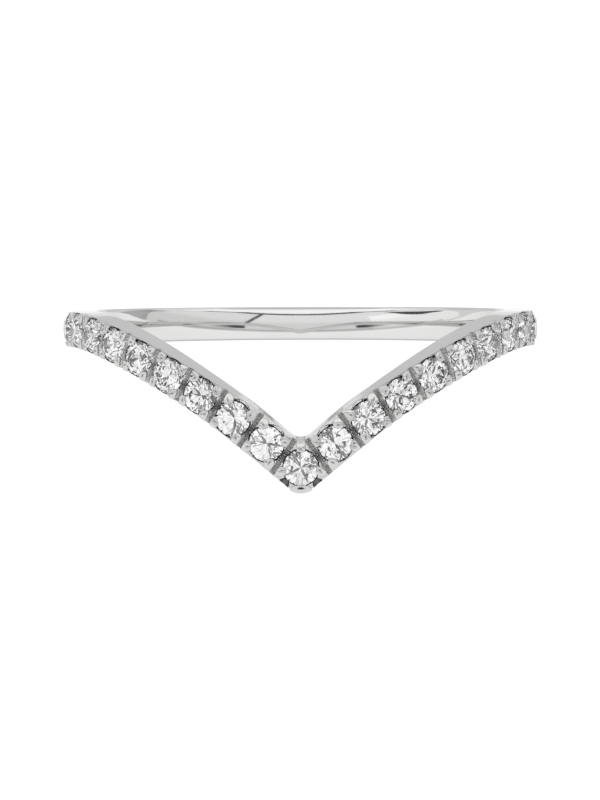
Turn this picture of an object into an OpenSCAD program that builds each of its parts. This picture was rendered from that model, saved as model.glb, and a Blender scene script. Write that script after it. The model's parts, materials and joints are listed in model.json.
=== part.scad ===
// Chevron ring: a plain band that dips to a point at the front, set with one row of round brilliants.
// The ring lies as it would on a table, on its point and on the back edge of the band.

/* [Finger hole] */
// Diameter of the finger hole
hole_d = 17.3; // [14:0.1:21]
// Angle at which the wall of the dip opens below the level band, so that the point clears the finger
dip_flare = 0.5; // [0.2:0.1:2]

/* [Band] */
// Thickness of the plain back
shank_t = 1.45; // [1.2:0.05:2.2]
// Width of the plain back
shank_w = 1.56; // [1.3:0.02:2.6]
// Step at the joint: how much thinner the set front is, and how much narrower on each side
front_step = 0.04; // [0.03:0.01:0.15]
// Width of metal between the last stone's seat and the plain back
head_margin = 0.25; // [0.15:0.05:1]
// Rounding of the long edges that touch the finger
inner_round = 0.2; // [0.1:0.02:0.3]
// Rounding of the long outer edges of the plain back
outer_round = 0.3; // [0.1:0.02:0.4]
// Small bevel on the outer edges of the set front
head_bevel = 0.07; // [0.04:0.01:0.15]

/* [Chevron] */
// Depth of the dip, along the centre line of the row, before its point is rounded
dip = 5.4; // [3:0.1:7]
// Length of each arm round the finger, from the point to where it runs level
arm_run = 12.6; // [8:0.1:13]
// Radius of the point's outer corner
tip_round = 0.43; // [0.3:0.01:1]
// Radius of the point's inner corner, on the finger side
notch_round = 0.6; // [0.3:0.01:1.2]
// Radius of the point's inner corner, on the outside
notch_round_outer = 0.16; // [0.1:0.01:1]

/* [Stones] */
// Girdle diameter of each stone
stone_d = 1.4; // [1.2:0.01:1.46]
// Gap between two stones in the row
stone_gap = 0.245; // [0.2:0.005:0.4]
// Depth of the girdle's upper edge below the metal's outer face
stone_sink = 0.02; // [0:0.01:0.1]
// Clearance between a stone and its claws
seat_gap = 0.015; // [0.01:0.005:0.04]
// Diameter of the table
table_d = 0.8; // [0.6:0.01:0.9]
// Height of the crown
crown_h = 0.21; // [0.15:0.01:0.25]
// Thickness of the girdle
girdle_t = 0.04; // [0.02:0.01:0.06]
// Depth of the pavilion
pavilion_h = 0.6; // [0.5:0.01:0.65]
// Turn of each stone in its seat against the stone before it
stone_turn = 17; // [0:1:45]

/* [Setting] */
// Metal left between the round-nosed cuts under two neighbouring stones
scallop_web = 0.025; // [0.015:0.005:0.1]
// How far the cut under the centre stone reaches past the stone, so that the lip of the point stays whole
tip_scallop_extra = 0.05; // [0.03:0.01:0.1]
// Width of the lip of the point, between the two small cuts beside it
lip_w = 0.9; // [0.6:0.05:1.1]
// Radius of those two cuts
lip_cut_r = 0.2; // [0.1:0.01:0.25]
// Depth of the saw cut between two stones
groove_depth = 0.5; // [0.3:0.05:0.7]
// Width of the saw cut at its mouth
groove_w = 0.2; // [0.1:0.01:0.22]
// Radius of a claw at its root
claw_r = 0.18; // [0.14:0.01:0.2]
// Radius of a claw's flat end
claw_tip_r = 0.12; // [0.05:0.01:0.13]
// Height of a claw above the metal's outer face
claw_rise = 0.1; // [0.05:0.01:0.2]
// Length of a claw below the metal's outer face
claw_root = 0.5; // [0.3:0.05:0.8]
// Distance by which a claw's root circle covers the stone's edge
claw_bite = 0.1; // [0.05:0.01:0.12]
// Distance of a claw's root from the side of the band
claw_inset = 0.02; // [0.02:0.01:0.06]
// Angle below the centre stone's middle at which its two side claws stand
centre_claw_drop = 12; // [0:1:25]

/* [Hidden] */
$fn = 48;
hole_r = hole_d / 2;
shank_r = hole_r + shank_t;
head_r = shank_r - front_step;
head_w = shank_w - 2 * front_step;
stone_r = stone_d / 2;
pitch = stone_d + stone_gap;
scallop_r = (pitch - scallop_web) / 2;
girdle_r = head_r - stone_sink;
arm_stones = 9;
// How far a cut or a joint reaches past the face that it starts from
overlap = 0.3;

// The centre line of the row is drawn on a cylinder through the girdles: s runs round it from the point.
// It is a parabola that runs out level at arm_run.
start_slope = 2 * dip / arm_run;
function rest_of_arm(s) = max(0, 1 - s / arm_run);
function line_z(s) = -dip * pow(rest_of_arm(s), 2);
function line_slope(s) = start_slope * rest_of_arm(s);

// A corner of the line with a given radius: a parabola replaces s and meets it at the end of the corner
function softened(s, radius) =
    let (reach = radius * start_slope)
    abs(s) >= reach ? abs(s) : (s * s + reach * reach) / (2 * reach);
function edge_z(s, radius, side) =
    let (u = softened(s, radius))
    line_z(u) + side * head_w / 2 * sqrt(1 + pow(line_slope(u), 2));
tip_z = edge_z(0, tip_round, -1);
centre_z = (edge_z(0, (notch_round + notch_round_outer) / 2, 1) + tip_z) / 2;

// Length along the centre line from the point, in closed form, and its inverse by halving
function parabola_length(m) = (m * sqrt(1 + m * m) + ln(m + sqrt(1 + m * m))) / 2;
function length_to(s) =
    arm_run / start_slope * (parabola_length(start_slope) - parabola_length(line_slope(s)))
    + max(0, s - arm_run);
function s_at_length(l, low, high, steps = 24) =
    let (middle = (low + high) / 2)
    steps == 0 ? middle
    : length_to(middle) < l ? s_at_length(l, middle, high, steps - 1)
    : s_at_length(l, low, middle, steps - 1);
function s_beside_centre(low, high, steps = 24) =
    let (middle = (low + high) / 2)
    steps == 0 ? middle
    : norm([middle, line_z(middle) - centre_z]) < pitch ? s_beside_centre(middle, high, steps - 1)
    : s_beside_centre(low, middle, steps - 1);
first_length = length_to(s_beside_centre(0, 2 * pitch));

// Each stone's place: i is 0 at the point, negative on the left arm and positive on the right
function stone_s(i) =
    i == 0 ? 0 : sign(i) * s_at_length(first_length + (abs(i) - 1) * pitch, 0, 4 * arm_run);
function stone_z(i) = i == 0 ? centre_z : line_z(abs(stone_s(i)));
function stone_slope(i) = i == 0 ? 0 : sign(i) * atan(line_slope(abs(stone_s(i))));
function degrees_round(s) = s / girdle_r * 180 / PI;
head_end = stone_s(arm_stones) + scallop_r + head_margin;

// Points on the upper rounded edges, as radius and height, in which a is the angle from the flat side
function outer_edge(a) =
    [shank_r - outer_round * (1 - sin(a)), shank_w / 2 - outer_round * (1 - cos(a))];
inner_middle = inner_round * (1 - sin(45));
inner_steepness = tan(67.5);
// How far the finger side of each half runs on into the hole, where the hole's wall cuts it off
front_past = 0.06;
back_past = 0.1;

// The ring rests on the lower edge of its point, on the finger side, and on the lower corner of its back
back_side_point = outer_edge(30);
back_face_point = outer_edge(60);
tilt = atan2(-back_side_point[1] - tip_z, hole_r + inner_round + back_side_point[0]);
rest_height = -(hole_r + inner_round) * sin(tilt) - tip_z * cos(tilt);
// Its box is centred front to back: the centre stone's table is foremost and the back's upper corner hindmost
front_reach = (girdle_r + crown_h) * cos(tilt) + (table_d / 2 - centre_z) * sin(tilt);
back_reach = back_face_point[0] * cos(tilt) + back_face_point[1] * sin(tilt);
centring = (front_reach - back_reach) / 2;

module lying() {
    translate([0, centring, rest_height]) rotate([-tilt, 0, 0]) children();
}

// Puts its children at a place on the row: their +Z points outwards and their +X along the row
module on_row(s, z, slope) {
    rotate([0, 0, degrees_round(s)])
        translate([0, -girdle_r, z])
            rotate([90, 0, 0])
                rotate([0, 0, slope])
                    children();
}
module at_stone(i) {
    on_row(stone_s(i), stone_z(i), stone_slope(i)) children();
}

// One cross-section of the set front, as points of radius and height, from the finger side round the outside
function head_section(s) =
    let (
        low = edge_z(s, tip_round, -1),
        high_in = edge_z(s, notch_round, 1),
        high_out = edge_z(s, notch_round_outer, 1),
        past = inner_round + front_past * inner_steepness,
        b = head_bevel
    )
    [
        [hole_r - front_past, low + past],
        [hole_r + inner_middle, low + inner_middle],
        [hole_r + inner_round, low],
        [head_r - b, low],
        [head_r, low + b],
        [head_r, high_out - b],
        [head_r - b, high_out],
        [hole_r + inner_round, high_in],
        [hole_r + inner_middle, high_in - inner_middle],
        [hole_r - front_past, high_in - past]
    ];

// The set front before it is cut: cross-sections joined round the finger, closer together at the point
half_sections = 32;
near_share = 0.35;
function spread(u) = head_end * (near_share * u + (1 - near_share) * pow(u, 3));
module set_front() {
    sections = [for (k = [-half_sections:half_sections]) spread(k / half_sections)];
    rings = [
        for (s = sections)
            let (a = degrees_round(s))
            [for (p = head_section(s)) [p[0] * sin(a), -p[0] * cos(a), p[1]]]
    ];
    n = len(rings[0]);
    last = len(rings) - 1;
    points = [for (ring = rings) each ring];
    walls = [
        for (k = [0:last - 1], j = [0:n - 1])
            let (a = k * n + j, b = k * n + (j + 1) % n)
            each [[a, b, a + n], [b, b + n, a + n]]
    ];
    ends = [[for (j = [n - 1:-1:0]) j], [for (j = [0:n - 1]) last * n + j]];
    polyhedron(points, concat(walls, ends));
}

// The plain back: a revolved profile with rounded edges
module plain_back() {
    end_angle = degrees_round(head_end - overlap);
    w = shank_w / 2;
    half = [
        [hole_r - back_past, w - inner_round - back_past * inner_steepness],
        [hole_r + inner_middle, w - inner_middle],
        [hole_r + inner_round, w],
        outer_edge(0),
        back_side_point,
        back_face_point,
        outer_edge(90)
    ];
    rotate_extrude(angle = 360 - 2 * end_angle, start = end_angle - 90)
        polygon(concat(half, [for (k = [len(half) - 1:-1:0]) [half[k][0], -half[k][1]]]));
}

// The finger hole: a true bore through the level band, flaring below it inside the dip
module finger_hole() {
    below = -tip_z + overlap;
    translate([0, 0, -shank_w / 2]) cylinder(h = shank_w + overlap, r = hole_r);
    translate([0, 0, -below])
        cylinder(h = below - shank_w / 2, r1 = hole_r + (below - shank_w / 2) * tan(dip_flare), r2 = hole_r);
}

// The round-nosed cut that opens the band's sides at a stone
module scallop(i) {
    at_stone(i) sphere(r = i == 0 ? stone_r + tip_scallop_extra : scallop_r);
}

// The two small cuts in the lower edge, one on each side of the lip
module lip_cuts() {
    out = lip_w / 2 + lip_cut_r;
    drop = sqrt(pow(scallop_r + tip_scallop_extra, 2) - out * out);
    for (side = [-1, 1])
        at_stone(0) translate([side * out, -drop, 0]) sphere(r = lip_cut_r);
}

// A stone's own outline with its clearance, cut from the claws so that they grip the crown and the girdle
module seat(i) {
    g = seat_gap;
    at_stone(i) rotate_extrude() polygon([
        [0, -girdle_t - pavilion_h - 2 * g],
        [stone_r + g, -girdle_t - g],
        [stone_r + g, g],
        [table_d / 2 + g, crown_h + 2 * g],
        [table_d / 2 + g, crown_h + overlap],
        [0, crown_h + overlap]
    ]);
}

// The saw cut between stone i and the next one outwards on the same arm
module groove(i) {
    next = i + sign(i);
    on_row((stone_s(i) + stone_s(next)) / 2,
           (stone_z(i) + stone_z(next)) / 2,
           (stone_slope(i) + stone_slope(next)) / 2) v_cut();
}
module centre_groove(side) {
    on_row(stone_s(side) / 2,
           (centre_z + stone_z(side)) / 2,
           side * atan((stone_z(side) - centre_z) / stone_s(1))) v_cut();
}
module v_cut() {
    w = groove_w / 2;
    rotate([90, 0, 0])
        translate([0, 0, -head_w])
            linear_extrude(height = 2 * head_w)
                polygon([[0, -groove_depth], [w, 0], [w, overlap], [-w, overlap], [-w, 0]]);
}

// The claws of a stone: four at its corners, or three round the centre stone, whose fourth side has the lip
claw_out = stone_r + claw_r - claw_bite;
claw_corner = asin(min(0.8, (head_w / 2 - claw_r - claw_inset) / claw_out));
function claw_angles(i) =
    i == 0 ? [90, 180 + centre_claw_drop, -centre_claw_drop]
    : [claw_corner, 180 - claw_corner, 180 + claw_corner, -claw_corner];
module claws(i) {
    at_stone(i)
        for (a = claw_angles(i))
            rotate([0, 0, a])
                translate([claw_out, 0, -claw_root])
                    cylinder(h = claw_root + claw_rise, r1 = claw_r, r2 = claw_tip_r);
}

// The cast band with its claws: one solid of polished white metal
module band() {
    color([0.85, 0.86, 0.88])
        lying()
            difference() {
                union() {
                    difference() {
                        union() {
                            set_front();
                            plain_back();
                        }
                        finger_hole();
                        for (i = [-arm_stones:arm_stones]) scallop(i);
                        lip_cuts();
                    }
                    for (i = [-arm_stones:arm_stones]) claws(i);
                }
                for (i = [-arm_stones:arm_stones]) seat(i);
                for (side = [-1, 1]) {
                    centre_groove(side);
                    for (i = [1:arm_stones - 1]) groove(side * i);
                }
            }
}

// A round brilliant with its girdle's upper edge at height 0: table, 8 stars, 8 kites, 16 upper halves,
// a girdle, 16 lower halves and 8 pavilion mains
module brilliant() {
    // How far out the stars and the lower halves end, as a share of the radius
    star_share = 0.76;
    lower_share = 0.24;
    star_r = stone_r * star_share;
    lower_r = stone_r * lower_share;
    c = cos(22.5);
    star_z = crown_h * (stone_r - star_r * c) / (stone_r - table_d / 2);
    lower_z = -girdle_t - pavilion_h * (1 - lower_r * c / stone_r);
    function round_about(n, r, z, turn) =
        [for (k = [0:n - 1]) let (a = turn + k * 360 / n) [r * cos(a), r * sin(a), z]];
    points = concat(
        round_about(8, table_d / 2, crown_h, 0),
        round_about(8, star_r, star_z, 22.5),
        round_about(16, stone_r, 0, 0),
        round_about(16, stone_r, -girdle_t, 0),
        round_about(8, lower_r, lower_z, 22.5),
        [[0, 0, -girdle_t - pavilion_h]]
    );
    // Where each ring of points starts
    star = 8;
    top = 16;
    bottom = 32;
    lower = 48;
    culet = 56;
    table = [[for (k = [7:-1:0]) k]];
    crown = [
        for (k = [0:7])
            let (next = (k + 1) % 8, g = top + 2 * k, g1 = g + 1, g2 = top + 2 * next)
            each [
                [k, next, star + k],
                [k, star + k, g],
                [star + k, next, g2],
                [star + k, g1, g],
                [star + k, g2, g1]
            ]
    ];
    girdle = [
        for (k = [0:15])
            let (next = (k + 1) % 16)
            each [[top + k, top + next, bottom + next], [top + k, bottom + next, bottom + k]]
    ];
    pavilion = [
        for (k = [0:7])
            let (next = (k + 1) % 8, g = bottom + 2 * k, g1 = g + 1, g2 = bottom + 2 * next)
            each [
                [lower + k, g, g1],
                [lower + k, g1, g2],
                [culet, g, lower + k],
                [culet, lower + k, g2]
            ]
    ];
    polyhedron(points, concat(table, crown, girdle, pavilion));
}
module stone(i) {
    color([0.93, 0.96, 0.98]) lying() at_stone(i) rotate([0, 0, i * stone_turn]) brilliant();
}

left_names = [for (i = [1:arm_stones]) str("stone_left_", i)];
right_names = [for (i = [1:arm_stones]) str("stone_right_", i)];
band();
stone(0);  // stone_center
for (i = [1:arm_stones]) {
    stone(-i);
    stone(i);
}
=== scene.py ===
import json
import math

import bpy
import numpy as np
from mathutils import Matrix, Vector


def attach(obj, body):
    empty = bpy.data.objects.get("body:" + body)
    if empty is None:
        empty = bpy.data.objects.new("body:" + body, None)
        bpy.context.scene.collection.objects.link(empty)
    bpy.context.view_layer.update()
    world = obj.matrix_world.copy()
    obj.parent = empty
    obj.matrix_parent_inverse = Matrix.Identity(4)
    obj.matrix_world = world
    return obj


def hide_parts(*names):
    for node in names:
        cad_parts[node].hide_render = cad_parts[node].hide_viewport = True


# The ring as it lies: on its point and on the back edge of its band, so that its own axis leans back.
# Everything below is worked out upright round that axis, in millimetres, and then laid down.
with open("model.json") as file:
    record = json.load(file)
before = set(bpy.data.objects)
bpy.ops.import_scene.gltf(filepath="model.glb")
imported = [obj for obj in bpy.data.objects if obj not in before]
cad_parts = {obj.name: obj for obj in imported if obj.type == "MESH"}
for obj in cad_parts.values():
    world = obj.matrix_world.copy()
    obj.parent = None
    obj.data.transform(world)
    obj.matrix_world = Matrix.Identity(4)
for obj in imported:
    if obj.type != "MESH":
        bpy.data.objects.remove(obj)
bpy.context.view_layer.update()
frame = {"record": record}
finger_hole = {m["name"]: m for m in frame["record"]["mounts"]}["finger_hole"]
ring_centre = np.array(finger_hole["pos_m"])
ring_up = np.array(finger_hole["axis"])
ring_right = np.array([1.0, 0.0, 0.0])
ring_axes = np.array([ring_right, np.cross(ring_up, ring_right), ring_up])


def laid(points):
    """Points upright in the ring's own frame, in millimetres, turned onto the table, in metres."""
    return ring_centre + 0.001 * (points @ ring_axes)


# The camera stands level with the ring's own plane, straight in front of the point, with a long lens.
camera_place = np.array([0.0, -96.0, 2.089])
camera_aside, camera_down, camera_roll = -0.00033, math.radians(3.123), -0.003
camera_aim = np.array([camera_aside, math.cos(camera_down), -math.sin(camera_down)])
camera = bpy.data.cameras.new("camera")
camera.sensor_fit = "VERTICAL"
camera.sensor_height = 36.0
camera.lens = 99.63
camera.clip_start = 0.005
camera_object = bpy.data.objects.new("camera", camera)
look = Vector(camera_aim @ ring_axes).to_track_quat("-Z", "Y")
camera_object.matrix_world = (
    Matrix.Translation(laid(camera_place)) @ look.to_matrix().to_4x4() @ Matrix.Rotation(camera_roll, 4, "Z")
)
bpy.context.collection.objects.link(camera_object)
bpy.context.scene.camera = camera_object
bpy.context.scene.view_settings.view_transform = "Standard"


# The table is a plain sheet of opal white acrylic, far wider than the view and evenly lit from below.
class Sum:
    """A socket in a node tree, so that shader maths reads as arithmetic."""

    def __init__(self, tree, socket):
        self.tree = tree
        self.socket = socket

    def maths(self, operation, *others):
        """One Math node, with this socket as its first value."""
        return self.tree.make("ShaderNodeMath", {"operation": operation}, dict(enumerate((self, *others))))[0]

    def __add__(self, other):
        return self.maths("ADD", other)

    def __sub__(self, other):
        return self.maths("SUBTRACT", other)

    def __rsub__(self, other):
        return self.tree.make("ShaderNodeMath", {"operation": "SUBTRACT"}, {0: other, 1: self})[0]

    def __mul__(self, other):
        return self.maths("MULTIPLY", other)

    def __truediv__(self, other):
        return self.maths("DIVIDE", other)

    __radd__ = __add__
    __rmul__ = __mul__


class Tree:
    """The node tree of one material or of the surroundings."""

    def __init__(self, owner):
        owner.use_nodes = True
        self.nodes = owner.node_tree.nodes
        self.links = owner.node_tree.links
        self.nodes.clear()

    def make(self, kind, settings=None, inputs=None):
        """Adds one node, with its settings first and then its sockets, and gives back its outputs."""
        node = self.nodes.new(kind)
        for name, value in (settings or {}).items():
            if name == "stops":
                ramp = node.color_ramp
                while len(ramp.elements) < len(value):
                    ramp.elements.new(0.5)
                for element, (place, grey) in zip(ramp.elements, value):
                    element.position = place
                    element.color = (grey, grey, grey, 1.0)
            else:
                setattr(node, name, value)
        for name, value in (inputs or {}).items():
            if isinstance(value, Sum):
                self.links.new(value.socket, node.inputs[name])
            else:
                node.inputs[name].default_value = value
        return [Sum(self, output) for output in node.outputs]


board = bpy.data.materials.new("white_acrylic")
tree = Tree(board)
place = tree.make("ShaderNodeTexCoord")[3]
fibre = tree.make("ShaderNodeTexNoise", None, {"Vector": place, "Scale": 900.0, "Detail": 3.0})[0]
shade = tree.make("ShaderNodeMix", {"data_type": "RGBA"}, {
    0: fibre, 6: (0.14, 0.14, 0.14, 1.0), 7: (0.16, 0.16, 0.16, 1.0)})[2]
sheet = tree.make("ShaderNodeBsdfPrincipled", None, {
    "Base Color": shade, "Roughness": 0.9, "Emission Color": (0.95, 0.95, 0.95, 1.0), "Emission Strength": 1.0})[0]
tree.make("ShaderNodeOutputMaterial", None, {"Surface": sheet})
table = bpy.data.meshes.new("table")
table.from_pydata([(-2, -2, 0), (2, -2, 0), (2, 2, 0), (-2, 2, 0)], [], [(0, 1, 2, 3)])
table.materials.append(board)
table_object = bpy.data.objects.new("table", table)
bpy.context.collection.objects.link(table_object)

# A light tent stands round the table: a wide front panel in a dark frame, brighter cloth above it, darker
# cloth behind, and black cards beside the panel and low on the left, all shown by the polished metal.
tent = bpy.data.worlds.new("light_tent")
bpy.context.scene.world = tent
tree = Tree(tent)
toward = tree.make("ShaderNodeTexCoord")[0]
x, y, z = tree.make("ShaderNodeSeparateXYZ", None, {0: toward})
# Both in degrees: height over the table, and bearing from the front towards the right
height = z.maths("ARCSINE") * (180.0 / math.pi)
bearing = x.maths("ARCTAN2", -1.0 * y) * (180.0 / math.pi)
cloth = tree.make("ShaderNodeValToRGB", {"stops": [
    (0.0, 0.6), (0.11, 0.6), (0.15, 0.6), (0.2, 0.69), (0.335, 0.7), (0.345, 0.85), (0.65, 0.85), (0.67, 0.55)]},
    {0: height / 90.0})[0]
# Each dark part below is 1 where it hides the cloth, less where it only greys it, and 0 elsewhere.
# COMPARE is 1 where its socket lies within the second number of the first
panel_end, panel_top = 34.0, 30.0
facing = y.maths("LESS_THAN", 0.1)
low = height.maths("LESS_THAN", panel_top)
across = bearing + 0.5 * (height - 14.0)
beside = 0.06 * low * across.maths("COMPARE", 70.0, 36.0)
behind = 0.4 * low * bearing.maths("COMPARE", 121.0, 15.0)
back_cloth = 0.25 * (1.0 - facing) * height.maths("GREATER_THAN", 16.0)
frame_end = low * height.maths("GREATER_THAN", 13.0) * across.maths("COMPARE", panel_end, 1.5)
frame_top = facing * height.maths("COMPARE", panel_top, 1.1)
frame_foot = 0.35 * facing * height.maths("COMPARE", 2.5, 1.5)
# The cards beside the panel slope down to the back and fade out there
sideways = bearing.maths("ABSOLUTE")
fade = ((60.0 - sideways) / 20.0).maths("MAXIMUM", 0.0).maths("MINIMUM", 1.0)
side_cards = fade * sideways.maths("GREATER_THAN", panel_end) * height.maths("GREATER_THAN", 5.0) * (
    (height + 0.25 * sideways).maths("LESS_THAN", 23.0))
# The low card on the left is a long lens, tilted, with its ends 24 degrees from its middle
card_end = (bearing + 81.0) / 24.0
card_half = 3.3 * (1.0 - card_end * card_end)
card = height.maths("COMPARE", 26.0 + 0.22 * (bearing + 61.0) - card_half, card_half)
dark = beside + behind + back_cloth + frame_end + frame_top + frame_foot + (side_cards + card)
white = tree.make("ShaderNodeMix", {"data_type": "RGBA"}, {
    0: dark.maths("MINIMUM", 1.0), 6: cloth, 7: (0.05, 0.05, 0.05, 1.0)})[2]
# A second lamp stands behind the cloth on the left
lit_side = 0.25 * height.maths("COMPARE", 12.0, 10.0) * bearing.maths("COMPARE", -78.0, 33.0)
white = tree.make("ShaderNodeVectorMath", {"operation": "SCALE"}, {0: white, "Scale": 1.0 + lit_side})[0]
# Past the table's edge the tent is out of sight, and only plain white cloth shows
seen = tree.make("ShaderNodeLightPath")[0]
white = tree.make("ShaderNodeMix", {"data_type": "RGBA"}, {0: seen, 6: white, 7: (1.0, 1.0, 1.0, 1.0)})[2]
glow = tree.make("ShaderNodeBackground", None, {"Color": white, "Strength": 1.5})[0]
tree.make("ShaderNodeOutputWorld", None, {"Surface": glow})


# The band is cast in one piece in white metal, plain and rounded at the back. Its front dips to the point
# and is cut down for the stones: a seat for each, with a crescent over it that opens the upper edge, and a
# saw cut between two stones, which splits the bridge of metal there into the claws of its neighbours.
hole_r = finger_hole["dims"]["r_mm"]
shank_r = hole_r + 1.45
shank_w = 1.56
head_r = shank_r - 0.04
head_w = shank_w - 0.08
# Roundings: edges on the finger side, lower and upper outer edges of the back, both outer edges of the front
inner_round, outer_round, top_round, head_round = 0.2, 0.3, 0.42, 0.06
# The wall on the finger side is crowned by this much, and bends into its edges through this angle
comfort, bend_angle = 0.06, 78
# The front dips this much over this run, and the wall on the finger side opens by this angle there
dip, arm_run, dip_flare = 5.4, 12.6, math.radians(0.5)
start_slope = 2 * dip / arm_run
# Corners at the point: lower edge, upper edge on the finger side and outside, lower edge where it swells
tip_round, notch_round, notch_round_outer, swell_tip_round = 0.43, 0.6, 0.16, 0.75
# About the point the front is broader by this much, out to this run
swell, swell_run = 0.18, 3.2
stone_r, stone_gap, crown_h, girdle_t, table_r = 0.7, 0.245, 0.21, 0.04, 0.4
pitch = 2 * stone_r + stone_gap
girdle_r = head_r - 0.02
seat_r, seat_steep = stone_r + 0.016, 1.4
# Crescents over the stones: reach from the stone's middle, the same at the point, and depth and slope of the shelf
cup_r, tip_cup_r, shelf_d, shelf_slope = 0.81, 0.75, 0.04, 0.2
# Saw cuts: half width, reach to each side of the row, depth, extra depth in the middle, ridges and their pitch
saw_w, saw_reach, saw_d, saw_more, ridge_h, ridge_pitch = 0.11, 1.1, 0.14, 0.1, 0.03, 0.075
# Cuts beside the lip: radius, steepness, and how far beside and below the centre stone's middle they are
lip_cut_r, lip_cut_steep, lip_cut_s, lip_cut_z = 0.2, 1.1, 0.66, 0.6
# How dull each place is left, from 0, polished, to 1, rough from the saw; the metal's colour is painted
# darker by as much, as painted shade in the seats, crescents and cuts and along the band's edges
seat_dull_and_shade, saw_dull_and_shade, lip_cut_dull_and_shade, upper_edge_dull_and_shade, inner_edge_dull_and_shade = 0.15, 0.3, 1, 0.6, 0.35


def line_z(s):
    """Height of the row's centre line at s along its run: a parabola that ends level at arm_run."""
    return -dip * np.maximum(0, 1 - s / arm_run) ** 2


def line_slope(s):
    """Slope of that line."""
    return start_slope * np.maximum(0, 1 - s / arm_run)


def edge_z(s, radius, side, width):
    """Height of the band's lower (side -1) or upper (side 1) edge: the line moved by half the width at
    right angles to itself, with a corner of the given radius at the point."""
    reach = radius * start_slope
    u = np.where(np.abs(s) < reach, (s * s + reach * reach) / (2 * reach), np.abs(s))
    return line_z(u) + side * width / 2 * np.sqrt(1 + line_slope(u) ** 2)


def head_width(s):
    """Width of the front, a little broader about the point."""
    return head_w + swell * np.exp(-((s / swell_run) ** 4))


# Places of the stones along the row, from the point outwards
tip_z = edge_z(np.zeros(1), tip_round, -1, head_w)[0]
centre_z = (edge_z(np.zeros(1), (notch_round + notch_round_outer) / 2, 1, head_w)[0] + tip_z) / 2
run = np.linspace(0, 20, 4001)
first_s = np.interp(pitch, np.hypot(run, line_z(run) - centre_z), run)
length = np.concatenate([[0], np.cumsum(np.hypot(np.diff(run), np.diff(line_z(run))))])
arm_s = np.interp(np.interp(first_s, run, length) + pitch * np.arange(9), length, run)
row_s = np.concatenate([-arm_s[::-1], [0], arm_s])
row_z = np.where(row_s == 0, centre_z, line_z(np.abs(row_s)))
row_turn = np.sign(row_s) * np.arctan(line_slope(np.abs(row_s)))
head_end = arm_s[-1] + cup_r + 0.25


def eased(t):
    """Runs from 0 to 1 as t does, level at both ends: three times t squared less twice t cubed."""
    t = np.clip(t, 0, 1)
    return t * t * (3 - 2 * t)


def round_finger(s, z, r):
    """Points at s round the row's cylinder, at height z and radius r, in the ring's frame."""
    angle = s / girdle_r
    return np.stack([r * np.sin(angle), -r * np.cos(angle), z], -1)


def cut_face(s, z, r):
    """Radius of the front's outer face at s and z after the cuts: a rounded seat under each stone with a
    crescent over it, a saw cut between each two stones and a small round cut on each side of the point's
    lip. The second result is how rough each place is left, and how far its metal is painted darker there
    as painted shade in the cuts."""
    dullness_and_shade = 0 * (s + z)
    for k in range(len(row_s)):
        far = (s - row_s[k]) ** 2 + (z - row_z[k]) ** 2
        wide = tip_cup_r if row_s[k] == 0 else cup_r
        across = (z - row_z[k]) * math.cos(row_turn[k]) - (s - row_s[k]) * math.sin(row_turn[k])
        # The crescent is widest straight above the stone, and its shelf slopes down to the seat
        cup = seat_r + (wide - seat_r) * (np.maximum(across, 0) ** 2 / np.maximum(far, 1e-9)) ** 2
        shelf = girdle_r - shelf_d - shelf_slope * (cup - np.sqrt(far))
        r = np.where((far > seat_r * seat_r) & (far < cup * cup), np.minimum(r, shelf), r)
        deep = seat_steep * np.sqrt(np.maximum(seat_r * seat_r - far, 0))
        r = np.where(far < seat_r * seat_r, np.minimum(r, girdle_r - deep), r)
        # Painted shade: the seat and its crescent are painted darker as well as left duller
        dullness_and_shade = np.where(far < cup * cup, seat_dull_and_shade, dullness_and_shade)
    for k in range(len(row_s) - 1):
        mid_s, mid_z = (row_s[k] + row_s[k + 1]) / 2, (row_z[k] + row_z[k + 1]) / 2
        turn = math.atan2(row_z[k + 1] - row_z[k], row_s[k + 1] - row_s[k])
        along = (s - mid_s) * math.cos(turn) + (z - mid_z) * math.sin(turn)
        across = (z - mid_z) * math.cos(turn) - (s - mid_s) * math.sin(turn)
        # The cut is narrowest and deepest in the middle of the band, with fine ridges from the saw along it
        wide = saw_w * (0.65 + 0.55 * np.abs(across))
        depth = saw_d + saw_more * np.exp(-((across / 0.3) ** 2))
        ridges = ridge_h * np.cos(2 * np.pi * along / ridge_pitch)
        floor = head_r - depth * (1 - (np.abs(along) / wide) ** 2) - ridges
        inside = (np.abs(along) < wide) & (np.abs(across) < saw_reach)
        r = np.where(inside, np.minimum(r, floor), r)
        # Painted shade: the saw cut is painted darker as well as left duller
        dullness_and_shade = np.where(inside, saw_dull_and_shade, dullness_and_shade)
    for side in (-1, 1):
        far = (s - side * lip_cut_s) ** 2 + (z - centre_z + lip_cut_z) ** 2
        deep = lip_cut_steep * np.sqrt(np.maximum(lip_cut_r**2 - far, 0))
        r = np.where(far < lip_cut_r**2, np.minimum(r, girdle_r - deep), r)
        # Painted shade: the cuts beside the lip are painted near black as well as left rough
        dullness_and_shade = np.where(far < lip_cut_r**2, lip_cut_dull_and_shade, dullness_and_shade)
    return r, dullness_and_shade


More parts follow.
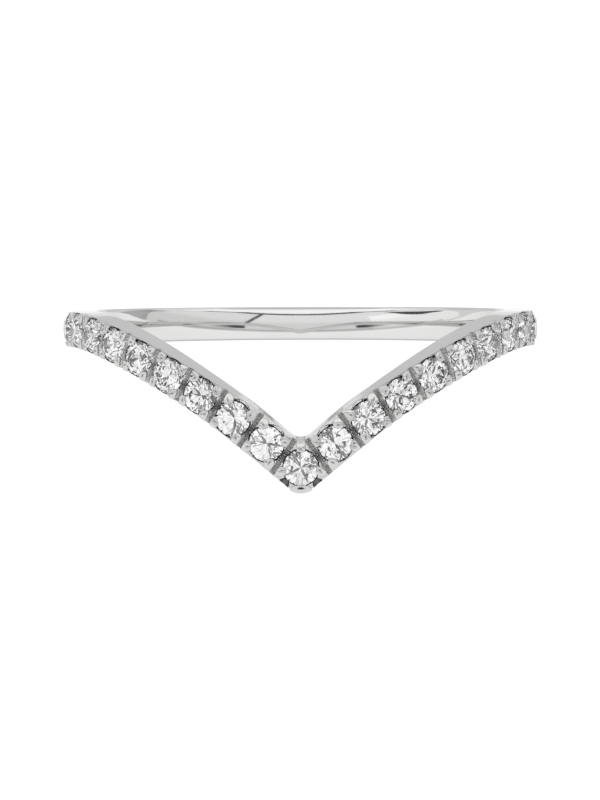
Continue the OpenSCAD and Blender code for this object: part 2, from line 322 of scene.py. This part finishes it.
def skin(name, points, sawn):
    """One closed piece from a grid of points that runs round in both directions, with the dullness and
    painted darkening of each point as its attribute."""
    n, m = points.shape[:2]
    index = np.arange(n * m).reshape(n, m)
    right, down = np.roll(index, -1, 0), np.roll(index, -1, 1)
    both = np.roll(right, -1, 1)
    quads = np.stack([index, right, both, down], -1).reshape(-1, 4)
    mesh = bpy.data.meshes.new(name)
    mesh.vertices.add(n * m)
    mesh.vertices.foreach_set("co", laid(points).ravel())
    mesh.loops.add(4 * n * m)
    mesh.loops.foreach_set("vertex_index", quads.ravel())
    mesh.polygons.add(n * m)
    mesh.polygons.foreach_set("loop_start", np.arange(0, 4 * n * m, 4))
    mesh.update(calc_edges=True)
    mesh.validate()
    mesh.attributes.new("sawn", "FLOAT", "POINT").data.foreach_set("value", sawn.ravel())
    mesh.shade_smooth()
    piece = bpy.data.objects.new(name, mesh)
    bpy.context.collection.objects.link(piece)
    return piece


# Stations round the ring, close together in the front, where the cuts are
front_end, front_steps, back_steps = head_end + 0.8, 840, 240
front = np.linspace(-front_end, front_end, front_steps)
whole = 2 * np.pi * girdle_r
back = np.linspace(front_end, whole - front_end, back_steps + 2)[1:-1]
s = np.concatenate([front, back])[:, None]
signed = np.where(s > whole / 2, s - whole, s)
near = np.abs(signed)
# Beside and past the last stone the front passes into the back: its face over 0.8 mm, its upper rounding
# over 1.2 mm and its width over 2.4 mm
past = near - head_end
plain = eased((past + 0.55) / 0.8)
width = head_width(near) + eased((past + 1.5) / 2.4) * (shank_w - head_w)
rim_low = head_round + plain * (outer_round - head_round)
rim_high = head_round + eased((past + 1.5) / 1.2) * (top_round - head_round)
outer = head_r + plain * (shank_r - head_r)
low = edge_z(signed, swell_tip_round, -1, width)
high = edge_z(signed, notch_round_outer, 1, width)
high_in = edge_z(signed, notch_round, 1, width)

# Outer face, from the lower edge over its rounding, the flat and the upper rounding
corner = np.radians(np.linspace(0, 90, 6))[None, :]
level = np.linspace(0, 1, 44)[None, 1:-1]
from_low = np.concatenate([
    rim_low * (1 - np.cos(corner)),
    rim_low + level * (high - low - rim_low - rim_high),
    high - low - rim_high * (1 - np.cos(corner[:, ::-1]))], 1)
drop = np.concatenate([
    rim_low * (1 - np.sin(corner)), 0 * level * rim_low, rim_high * (1 - np.sin(corner[:, ::-1]))], 1)
face_z = low + from_low
face_r = outer - drop
cut, dullness_and_shade = cut_face(signed, face_z, face_r)
cut = np.where(near < head_end - 0.1, cut, face_r)
# The dullness and the painted shade fade in over the first 0.04 mm of a cut's depth
dullness_and_shade = dullness_and_shade * np.clip((face_r - cut) / 0.04, 0, 1)
# The upper edge of each arm is left duller and painted darker as painted shade, between the point and the last
# stones
darker_and_duller = upper_edge_dull_and_shade * np.clip(near / 2.0 - 1.0, 0, 1) * np.clip((10.0 - near) / 2.5, 0, 1)
dullness_and_shade[:, -5:-1] = np.maximum(dullness_and_shade[:, -5:-1], darker_and_duller)
face_r = cut

# Upper side, inner wall between its two bends, and lower side
side = np.linspace(0, 1, 6)[None, 1:-1]
bend = np.radians(np.linspace(0, bend_angle, 8))[None, :]
wall = np.linspace(0, 1, 16)[None, 1:-1]
inner_r = hole_r + comfort + inner_round * math.sin(math.radians(bend_angle))
upper_r = face_r[:, -1:] + side * (inner_r - face_r[:, -1:])
upper_z = high + (high_in - high) * (outer - rim_high - upper_r) / (outer - rim_high - inner_r)
lower_r = face_r[:, :1] + (1 - side) * (inner_r - face_r[:, :1])
upper_bend_z = high_in - inner_round * (1 - np.cos(bend))
lower_bend_z = low + inner_round * (1 - np.cos(bend[:, ::-1]))
bend_r = inner_r - inner_round * np.sin(bend) + 0 * s
wall_z = upper_bend_z[:, -1:] - wall * (upper_bend_z[:, -1:] - lower_bend_z[:, :1])
wall_r = hole_r + comfort * (2 * wall - 1) ** 2 + 0 * wall_z
radius = np.concatenate([face_r, upper_r, bend_r, wall_r, bend_r[:, ::-1], lower_r], 1)
height_z = np.concatenate([face_z, upper_z, upper_bend_z, wall_z, lower_bend_z, low + 0 * lower_r], 1)
# Below the level part the wall opens towards the point, so that the point clears the finger
flare = np.maximum(0, -shank_w / 2 - height_z) * math.tan(dip_flare)
radius = np.where(radius < inner_r, radius + flare, radius)
# Painted shade under the band: the lower inner edge is left duller and painted darker
sawn = np.zeros(radius.shape, np.float32)
sawn[:, :face_r.shape[1]] = dullness_and_shade
sawn[:, -9:-2] = inner_edge_dull_and_shade
band = skin("polished_band", round_finger(s, height_z, radius), sawn)
band.data.set_sharp_from_angle(angle=math.radians(40))

# Polish leaves a faint haze and fine lines, and filed metal on the claws stays darker and duller; the
# same darkening paints shade into the cuts and along the band's edges and dark reflections into the claws' nicks
metal = bpy.data.materials.new("polished_white_metal")
tree = Tree(metal)
place = tree.make("ShaderNodeTexCoord")[3]
polish = tree.make("ShaderNodeTexNoise", None, {"Vector": place, "Scale": 1500.0, "Detail": 3.0})[0]
haze = tree.make("ShaderNodeTexNoise", None, {"Vector": place, "Scale": 350.0, "Detail": 2.0})[0]
dullness_and_shade = tree.make("ShaderNodeAttribute", {"attribute_name": "sawn"})[2]
tone = tree.make("ShaderNodeMix", {"data_type": "RGBA"}, {
    0: haze, 6: (0.66, 0.66, 0.655, 1.0), 7: (0.71, 0.71, 0.705, 1.0)})[2]
# Painted shade and painted reflections: the attribute darkens the colour towards 0.14
tone = tree.make("ShaderNodeMix", {"data_type": "RGBA"}, {0: dullness_and_shade, 6: tone, 7: (0.14, 0.14, 0.14, 1.0)})[2]
relief = tree.make("ShaderNodeBump", None, {"Height": polish, "Strength": 0.04, "Distance": 0.00001})[0]
shine = tree.make("ShaderNodeBsdfPrincipled", None, {
    "Base Color": tone, "Metallic": 1.0, "Roughness": 0.04 + 0.05 * haze + 0.25 * dullness_and_shade, "Normal": relief,
    "Specular Tint": (0.75, 0.75, 0.75, 1.0)})[0]
tree.make("ShaderNodeOutputMaterial", None, {"Surface": shine})
band.data.materials.append(metal)
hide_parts("band")
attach(band, "root")

# Each claw is a small rounded tongue of the bridge's metal, filed to shape and bent over the edge of its
# stone, four to a stone. The centre stone has one at the notch, one on each side and, below it, the lip of
# the point, twice as wide.
beside_stone, over_crown, inset, lip_hang = 0.015, 0.012, 0.012, 0.04
squareness, lean_most, nick_d, claw_dull = 0.8, 0.12, 0.06, 0.15
# Of each claw: its stone, bearing round it in degrees, distance from its middle, half length and half width
claw_list = []
for k in range(len(row_s)):
    if row_s[k] == 0:
        claw_list += [(k, 90, 0.8, 0.2, 0.19), (k, 190, 0.8, 0.22, 0.2), (k, -10, 0.8, 0.22, 0.2),
                      (k, 270, 0.86, 0.2, 0.42)]
    else:
        claw_list += [(k, a, 0.8, 0.22, 0.23) for a in (43.8, 136.2, 223.8, 316.2)]
# Of a claw's rings from root to tip: their size, and their height over the girdle
grow = np.array([1.05, 1.0, 1.0, 1.0, 0.97, 0.92, 0.86, 0.78, 0.6, 0.42, 0.3, 0.15])[:, None]
rise = np.array([-0.5, -0.2, 0.0, 0.06, 0.085, 0.1, 0.107, 0.111, 0.115, 0.117, 0.118, 0.118])[:, None]
turn = np.radians(np.arange(0, 360, 12))
points, faces, marks = [], [], []
start = 0
for k, a, middle, deep, broad in claw_list:
    a, lip = math.radians(a), broad > 0.4
    # Each ring is an oval, a little squared
    out = middle + deep * grow * np.sign(np.cos(turn)) * np.abs(np.cos(turn)) ** squareness
    along = broad * grow * np.sign(np.sin(turn)) * np.abs(np.sin(turn)) ** squareness
    x = out * math.cos(a) - along * math.sin(a)
    y = out * math.sin(a) + along * math.cos(a)
    # No two are filed alike, so each top leans a little its own way
    lean = lean_most * math.sin(5.0 * k + 2.0 * a) * (x - middle * math.cos(a)) + (
        lean_most * math.sin(3.0 * k + 4.0 * a) * (y - middle * math.sin(a)))
    h = rise + np.where(rise > 0.05, lean, 0)
    # Each also keeps a nick from the tool, across the lip and this way or that on the others; the dent is
    # real, and its dark colour is a painted dark reflection
    u, v = out - middle + 0.06, along + 0.03 * math.sin(4.0 * k + a)
    if lip:
        nick_and_reflection = 1.2 * np.exp(-((u / 0.03) ** 4) - (v / 0.13) ** 4)
    else:
        tip = 6.0 * math.sin(8.0 * k + 3.0 * a)
        nick_and_reflection = 0.8 * np.exp(-(((u * math.cos(tip) + v * math.sin(tip)) / 0.03) ** 2) - (
            (v * math.cos(tip) - u * math.sin(tip)) / 0.08) ** 2)
    nick_and_reflection = nick_and_reflection * (rise > 0.05)
    h = h - nick_d * nick_and_reflection
    # A claw is twice as dull on its sides, between the root and the top
    darker_and_duller = claw_dull + claw_dull * ((rise > -0.1) & (rise < 0.105))
    # The top falls away from the stone, and on the last stones also towards the band's upper edge
    h = np.where(h > 0, h * (1 - 0.75 * np.clip((np.hypot(x, y) - 0.76) / 0.3, 0, 1)), h)
    if k in (0, len(row_s) - 1):
        h = h - 0.4 * np.maximum(0, y - 0.4)
    # The saw cuts towards the neighbours leave the tongue a flat side
    row_cos, row_sin = math.cos(row_turn[k]), math.sin(row_turn[k])
    for j in (k - 1, k + 1):
        if 0 <= j < len(row_s):
            ds, dz = row_s[j] - row_s[k], row_z[j] - row_z[k]
            far = math.hypot(ds, dz)
            ux, uy = (ds * row_cos + dz * row_sin) / far, (dz * row_cos - ds * row_sin) / far
            over = np.maximum(0, x * ux + y * uy - far / 2 + saw_w)
            x, y = x - over * ux, y - over * uy
    # Below the crown it stays outside the stone, and above it just clears the facets
    from_stone = np.hypot(x, y)
    crown = crown_h * (stone_r - from_stone) / (stone_r - table_r) + over_crown
    inside = from_stone < stone_r + beside_stone
    push = np.where(inside & (h < over_crown), (stone_r + beside_stone) / from_stone, 1.0)
    h = np.where(inside & (h >= over_crown), np.maximum(h, crown), h)
    # It ends just inside the band's edges, but the lip hangs a little below the lower one
    s = row_s[k] + push * (x * row_cos - y * row_sin)
    z = row_z[k] + push * (x * row_sin + y * row_cos)
    z = np.clip(z, edge_z(s, swell_tip_round, -1, head_width(s)) + (-lip_hang if lip else inset),
                edge_z(s, notch_round_outer, 1, head_width(s)) - inset)
    rings = round_finger(s, z, girdle_r + h)
    n_rings, n_turn = rings.shape[:2]
    points += [rings.reshape(-1, 3), rings[-1].mean(0)[None], rings[0].mean(0)[None]]
    marks += [(nick_and_reflection + darker_and_duller).ravel(), [claw_dull + nick_and_reflection[-1].mean(), claw_dull]]
    grid = np.arange(n_rings * n_turn).reshape(n_rings, n_turn) + start
    after = np.roll(grid, -1, 1)
    top = start + n_rings * n_turn
    faces += np.stack([grid[:-1], after[:-1], after[1:], grid[1:]], -1).reshape(-1, 4).tolist()
    faces += np.stack([grid[-1], after[-1], np.full(n_turn, top)], -1).tolist()
    faces += np.stack([after[0], grid[0], np.full(n_turn, top + 1)], -1).tolist()
    start = top + 2
mesh = bpy.data.meshes.new("claws")
mesh.from_pydata(laid(np.concatenate(points)).tolist(), [], faces)
marks = np.concatenate(marks).astype(np.float32)
mesh.attributes.new("sawn", "FLOAT", "POINT").data.foreach_set("value", marks)
mesh.shade_smooth()
mesh.set_sharp_from_angle(angle=math.radians(50))
claws = bpy.data.objects.new("claws", mesh)
bpy.context.collection.objects.link(claws)
mesh.materials.append(metal)
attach(claws, "root")

# The stones are round brilliants, cut and polished diamond, each a loose stone in its own seat. Small
# stones are never quite alike, so each has its own proportions, its own turn and a trace of lean, and one or
# two of the lower facets of each are painted near black, as painted dark reflections.
diamond = bpy.data.materials.new("diamond")
tree = Tree(diamond)
place = tree.make("ShaderNodeTexCoord")[3]
shadow = tree.make("ShaderNodeAttribute", {"attribute_name": "shadow"})[2]
# Clear but for a trace of cloud, except where a facet is painted near black as a painted dark reflection
cloud = tree.make("ShaderNodeTexNoise", None, {"Vector": place, "Scale": 2500.0, "Detail": 2.0})[0]
clear = tree.make("ShaderNodeMix", {"data_type": "RGBA"}, {
    0: cloud, 6: (0.97, 0.97, 0.97, 1.0), 7: (1.0, 1.0, 1.0, 1.0)})[2]
gem = tree.make("ShaderNodeBsdfPrincipled", None, {
    "Base Color": clear, "Roughness": 0.0, "IOR": 2.417, "Transmission Weight": 1.0})[0]
painted_dark_reflection = tree.make("ShaderNodeBsdfPrincipled", None, {"Base Color": (0.01, 0.01, 0.01, 1.0), "Roughness": 0.6})[0]
both = tree.make("ShaderNodeMixShader", None, {0: shadow, 1: gem, 2: painted_dark_reflection})[0]
tree.make("ShaderNodeOutputMaterial", None, {"Surface": both})


def around(count, radius, level, first):
    """Points evenly spaced on a circle at one level, from the given angle in degrees."""
    turn = np.radians(first + 360 / count * np.arange(count))
    return np.stack([radius * np.cos(turn), radius * np.sin(turn), level + 0 * turn], -1)


def brilliant(table, crown, pavilion):
    """Points and facets of a round brilliant: table, 8 kites, 8 stars, 16 upper halves, girdle, 8 mains and
    16 lower halves. Kites and mains are flat, because the star and lower corners lie on their planes."""
    star, lower = 0.57, 0.15
    half = math.cos(math.pi / 8)
    star_level = crown * (stone_r - star * half) / (stone_r - table)
    lower_level = -girdle_t - pavilion * (1 - lower * half / stone_r)
    points = np.concatenate([
        around(8, table, crown, 0), around(8, star, star_level, 22.5), around(16, stone_r, 0, 0),
        around(16, stone_r, -girdle_t, 0), around(8, lower, lower_level, 22.5), [[0, 0, -girdle_t - pavilion]]])
    # Numbers of the corner points, one for each eighth of the stone, or for each sixteenth of its girdle
    table_here = np.arange(8)
    table_next = (table_here + 1) % 8
    star_here, star_before = 8 + table_here, 8 + (table_here - 1) % 8
    rim, rim_next = 16 + np.arange(16), 16 + (np.arange(16) + 1) % 16
    rim_here, rim_middle, rim_after = rim[::2], rim[1::2], rim_next[1::2]
    lower_here, lower_before, culet = 48 + table_here, 48 + (table_here - 1) % 8, np.full(8, 56)
    facets = [table_here.tolist()]
    for corners in (
        (rim_here, star_here, table_here, star_before),
        (table_here, star_here, table_next),
        (rim_here, rim_middle, star_here),
        (rim_middle, rim_after, star_here),
        (rim + 16, rim_next + 16, rim_next, rim),
        (rim_here + 16, lower_before, culet, lower_here),
        (rim_here + 16, lower_here, rim_middle + 16),
        (rim_middle + 16, lower_here, rim_after + 16),
    ):
        facets += np.stack(corners, -1).tolist()
    return points, facets


chance = np.random.default_rng(19)
for k in range(len(row_s)):
    points, facets = brilliant(
        chance.uniform(0.38, 0.42), chance.uniform(0.195, 0.21), chance.uniform(0.615, 0.665))
    turned, lean_x, lean_y = chance.uniform(0, math.pi / 4), *chance.uniform(-0.01, 0.01, 2)
    # Along the row, across it and straight out of the band, then turned by the stone's own turn
    angle, slope = row_s[k] / girdle_r, row_turn[k]
    outward = np.array([math.sin(angle), -math.cos(angle), 0.0])
    level = np.array([math.cos(angle), math.sin(angle), 0.0])
    along = level * math.cos(slope) + np.array([0, 0, math.sin(slope)]) + lean_x * outward
    upward = np.array([0, 0, math.cos(slope)]) - level * math.sin(slope) + lean_y * outward
    outward = np.cross(along, upward)
    first = along * math.cos(turned) + upward * math.sin(turned)
    second = upward * math.cos(turned) - along * math.sin(turned)
    middle = round_finger(row_s[k], row_z[k], girdle_r)
    from_centre = k - len(arm_s)
    arm = "left" if from_centre < 0 else "right"
    name = "%s_%d" % (arm, abs(from_centre)) if from_centre else "center"
    mesh = bpy.data.meshes.new("diamond_" + name)
    mesh.from_pydata(laid(middle + points @ np.array([first, second, outward])).tolist(), [], facets)
    mesh.materials.append(diamond)
    # The 8 mains are the first of the last 24 facets. Near the point two of them are painted dark as painted
    # reflections, farther out one
    shadow = np.zeros(len(facets), np.float32)
    shadow[chance.choice(8, 2 if abs(from_centre) < 4 else 1, replace=False) - 24] = 0.85
    mesh.attributes.new("shadow", "FLOAT", "FACE").data.foreach_set("value", shadow)
    stone = bpy.data.objects.new("diamond_" + name, mesh)
    bpy.context.collection.objects.link(stone)
    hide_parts("stone_" + name)
    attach(stone, "root")
